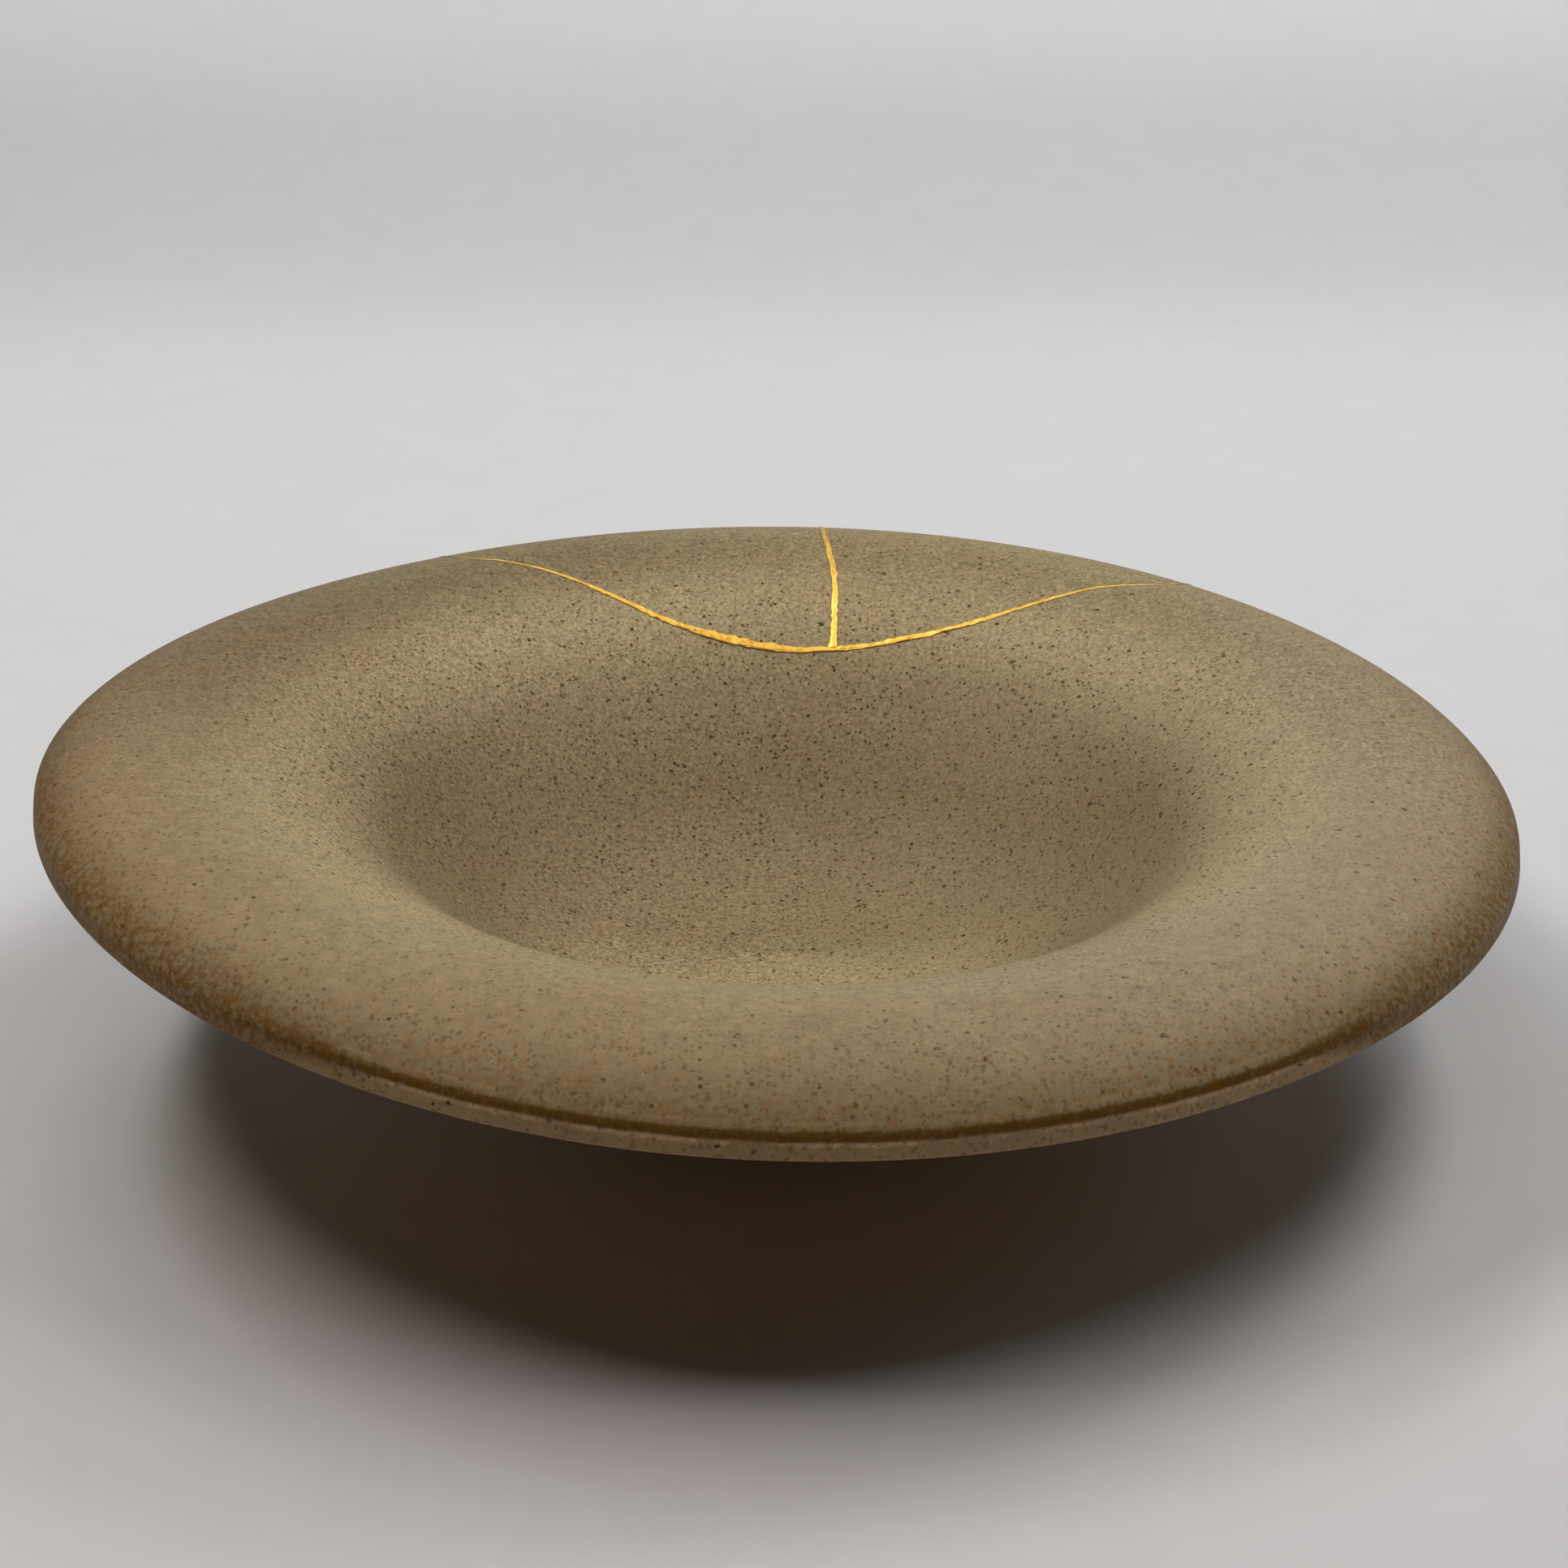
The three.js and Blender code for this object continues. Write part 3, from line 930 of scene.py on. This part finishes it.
def glaze_material(look):
    """Satin olive glaze, blushed with rose, freckled with iron and brown where it breaks."""
    make = Maker("speckled_glaze")
    wall = WallMap(make)
    colour = thick_glaze(make, wall, look)
    colour = thin_glaze(make, wall, look, colour)
    colour = broken_glaze(make, wall, look, colour)
    colour = freckled(make, wall, look, colour)
    # The colour is scaled by the glaze's mottling and by painted light and shade
    colour = make.scaled(colour, mottling(make, wall) * painted_shading(wall))
    bare = make.soft_step(make.along(wall.place, "Z") / MM, 0.6, 1.6, 1.0, 0.0)
    colour = make.mix(bare, colour, opaque(look.clay))
    roughness = 0.5 + wall.grain * 0.14 + bare * 0.25
    height = wall.grain * 0.06 + wall.drift * 0.25
    bump = make.node("Bump", {}, {"Strength": 1.0, "Distance": MM, "Height": height})
    return make.finish(Base_Color=colour, Roughness=roughness, Normal=bump, Specular_IOR_Level=0.12)


def gold_material(look):
    """Gold powder on lacquer: bright and streaky on top, and brown along the edges, where brown lacquer
    shows and painted shade darkens them, and at the long seam's ends and near the lip."""
    make = Maker("gold_lacquer")
    place = make.node("TexCoord", {}, {}, "Object")
    to_right = make.along(place, "X")
    to_back = make.along(place, "Y")
    brush_map = make.node("UVMap", {"uv_map": "brushed"})
    stroke = make.vector("MULTIPLY", brush_map, (1, 0.012, 0))
    streaks = make.noise(stroke, 0.0016, 3.0, 0.6, 3.0)
    patches = make.noise(place, 0.004, 3.0, 0.6, 2.0)
    grain = make.noise(place, 0.0004, 2.0, 0.6, 4.0)
    off_top = make.math("ABSOLUTE", make.along(brush_map, "Y") - 0.25) + (patches - 0.5) * 0.05
    faded = make.soft_step(to_right, 0.108, 0.122) + make.soft_step(to_right, -0.102, -0.09, 1.0, 0.0)
    faded = faded + make.soft_step(to_back, 0.125, 0.19) * 0.5
    # Brown along the edges: the brown lacquer outline and painted shade where the bead meets the bowl;
    # brown also at the seam's ends and near the lip
    edge = make.clamped(make.soft_step(off_top, 0.15, 0.215) + faded * (0.4 + patches * 0.6))
    worn = make.soft_step(streaks * 0.5 + patches * 0.5, 0.42, 0.66)
    colour = make.mix(worn, opaque(look.bright), opaque(look.deep))
    colour = make.mix(edge, colour, opaque(look.lacquer))
    roughness = 0.36 + grain * 0.16
    height = grain * 0.06 + streaks * 0.2 + patches * 0.15
    bump = make.node("Bump", {}, {"Strength": 1.0, "Distance": MM, "Height": height})
    metal = 0.9 - edge * 0.7
    return make.finish(Base_Color=colour, Metallic=metal, Roughness=roughness, Normal=bump)


def paper_material(look):
    """Pale matt paper, with painted shade where it starts to rise and painted light further up."""
    make = Maker("plain_paper")
    place = make.node("TexCoord", {}, {}, "Object")
    to_back = make.along(place, "Y")
    fibre = make.noise(place, 0.02, 4.0, 0.6, 1.0)
    # Painted shade where the paper starts to rise, and painted light further up the backdrop
    darker = make.soft_step(to_back, 0.6, 0.84) * 0.115
    lighter = make.soft_step(to_back, 0.92, 1.1) * 0.2
    tone = make.soft_step(fibre, 0.2, 0.8, 1.025, 1.055) - darker + lighter
    return make.finish(Base_Color=make.scaled(tuple(look.paper), tone), Roughness=0.9)


def finished(piece, material, slot, *nodes):
    """Gives a piece its material, puts it on the body and lets it stand for its solids."""
    piece.data.materials.clear()
    piece.data.materials.append(material)
    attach(piece, "root")
    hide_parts(*nodes)


class BOWL_OT_stage(bpy.types.Operator):
    """Make the camera, the paper floor and the soft lights"""

    bl_idname = "bowl.stage"
    bl_label = "Make the stage"

    def execute(self, context):
        look = context.scene.stage_look
        shape = context.scene.bowl_shape
        middle = Vector((0, 0, shape.ridge_height))
        camera = bpy.data.objects.new("camera", bpy.data.cameras.new("camera"))
        context.scene.collection.objects.link(camera)
        back = Vector((0, -math.cos(look.camera_angle), math.sin(look.camera_angle)))
        camera.location = middle + back * look.camera_distance
        aim = middle - AXIS * look.aim_drop
        camera.rotation_euler = (aim - camera.location).to_track_quat("-Z", "Y").to_euler()
        camera.data.lens = look.lens
        camera.data.sensor_width = 36
        context.scene.camera = camera
        self.make_paper(look)
        self.make_lights(context, look)
        context.scene.view_settings.view_transform = "Standard"
        return {"FINISHED"}

    def make_paper(self, look):
        """A sheet of paper on the table that rises behind the bowl."""
        profile = [Vector((0, -look.paper_front, 0)), Vector((0, look.fold_start, 0))]
        for step in range(1, look.fold_steps + 1):
            turn = math.radians(90) * step / look.fold_steps
            profile.append(Vector((
                0,
                look.fold_start + look.fold_radius * math.sin(turn),
                look.fold_radius * (1 - math.cos(turn)),
            )))
        profile.append(profile[-1] + AXIS * look.paper_top)
        bm = bmesh.new()
        verts = [bm.verts.new(point - Vector((look.paper_side, 0, 0))) for point in profile]
        edges = [bm.edges.new(pair) for pair in zip(verts, verts[1:])]
        swept = bmesh.ops.extrude_edge_only(bm, edges=edges)
        moved = [item for item in swept["geom"] if isinstance(item, bmesh.types.BMVert)]
        bmesh.ops.translate(bm, verts=moved, vec=(2 * look.paper_side, 0, 0))
        for face in bm.faces:
            if face.normal.z < 0:
                face.normal_flip()
        paper = new_object("paper", bm)
        paper.data.materials.append(paper_material(look))

    def make_lights(self, context, look):
        """The lamps, all turned to the bowl, and an even light from all sides."""
        for name, to_right, to_back, width, depth, part, tint in LAMPS:
            lamp = bpy.data.lights.new(name, "AREA")
            lamp.shape = "RECTANGLE"
            lamp.size = width
            lamp.size_y = depth
            lamp.energy = look.lamp_power * part
            lamp.color = tint
            light = bpy.data.objects.new(name, lamp)
            context.scene.collection.objects.link(light)
            lean = Vector((math.tan(math.radians(to_right)), math.tan(math.radians(to_back)), 1))
            light.location = lean * look.lamp_height
            light.rotation_euler = lean.to_track_quat("Z", "Y").to_euler()
        world = bpy.data.worlds.new("soft_room")
        world.use_nodes = True
        background = world.node_tree.nodes["Background"]
        background.inputs["Color"].default_value = opaque(look.sky_tint)
        background.inputs["Strength"].default_value = look.sky
        context.scene.world = world


class BOWL_OT_stoneware(bpy.types.Operator):
    """Turn and warp the bowl, break it along its cracks and glaze the pieces"""

    bl_idname = "bowl.stoneware"
    bl_label = "Make the stoneware"

    def execute(self, context):
        shape = context.scene.bowl_shape
        whole = turn_bowl("bowl_body_glazed", shape)
        combine(whole, crack_sheets(shape, context.scene.mend_shape), "DIFFERENCE")
        body, *shards = loose_parts(whole)
        shards.sort(key=lambda shard: sum(vert.co.x for vert in shard.data.vertices))
        if len(shards) != 2:
            raise RuntimeError(f"the cracks part the bowl into {1 + len(shards)} pieces, not 3")
        material = glaze_material(context.scene.glaze_look)
        names = ("bowl_body", "rim_shard_left", "rim_shard_right")
        for piece, node in zip((body, *shards), names):
            piece.name = node + "_glazed"
            piece.data.name = piece.name
            shade_smooth(piece.data)
            finished(piece, material, "glaze", node)
        return {"FINISHED"}


class BOWL_OT_gold(bpy.types.Operator):
    """Brush the gold lacquer over the cracks"""

    bl_idname = "bowl.gold"
    bl_label = "Make the gold seams"

    def execute(self, context):
        mend = context.scene.mend_shape
        wall = Wall(context.scene.bowl_shape)
        bm = bmesh.new()
        add_bead(bm, wall, mend, LONG_CRACK, long_width, closed=True, seed=2.0)
        add_bead(bm, wall, mend, BRANCH_CRACK, branch_width, closed=False, seed=71.0)
        bmesh.ops.recalc_face_normals(bm, faces=bm.faces)
        seam = new_object("gold_seam_brushed", bm)
        finished(seam, gold_material(context.scene.gold_look), "gold", "gold_seam")
        return {"FINISHED"}


class BOWL_PT_panel(bpy.types.Panel):
    """Lists the steps that make the bowl"""

    bl_label = "Gold-mended bowl"
    bl_idname = "BOWL_PT_panel"
    bl_space_type = "VIEW_3D"
    bl_region_type = "UI"
    bl_category = "Bowl"

    def draw(self, context):
        for step in STEPS:
            self.layout.operator(step.bl_idname)


SETTINGS = {
    "bowl_shape": BowlShape,
    "mend_shape": MendShape,
    "glaze_look": GlazeLook,
    "gold_look": GoldLook,
    "stage_look": StageLook,
}
STEPS = (BOWL_OT_stage, BOWL_OT_stoneware, BOWL_OT_gold)


def register():
    for made in (*SETTINGS.values(), *STEPS, BOWL_PT_panel):
        bpy.utils.register_class(made)
    for name, group in SETTINGS.items():
        setattr(bpy.types.Scene, name, bpy.props.PointerProperty(type=group))


def unregister():
    for name in SETTINGS:
        delattr(bpy.types.Scene, name)
    for made in (BOWL_PT_panel, *reversed(STEPS), *reversed(SETTINGS.values())):
        bpy.utils.unregister_class(made)


def main():
    register()
    bpy.ops.bowl.stage()
    bpy.ops.bowl.stoneware()
    bpy.ops.bowl.gold()


if __name__ == "__main__":
    main()
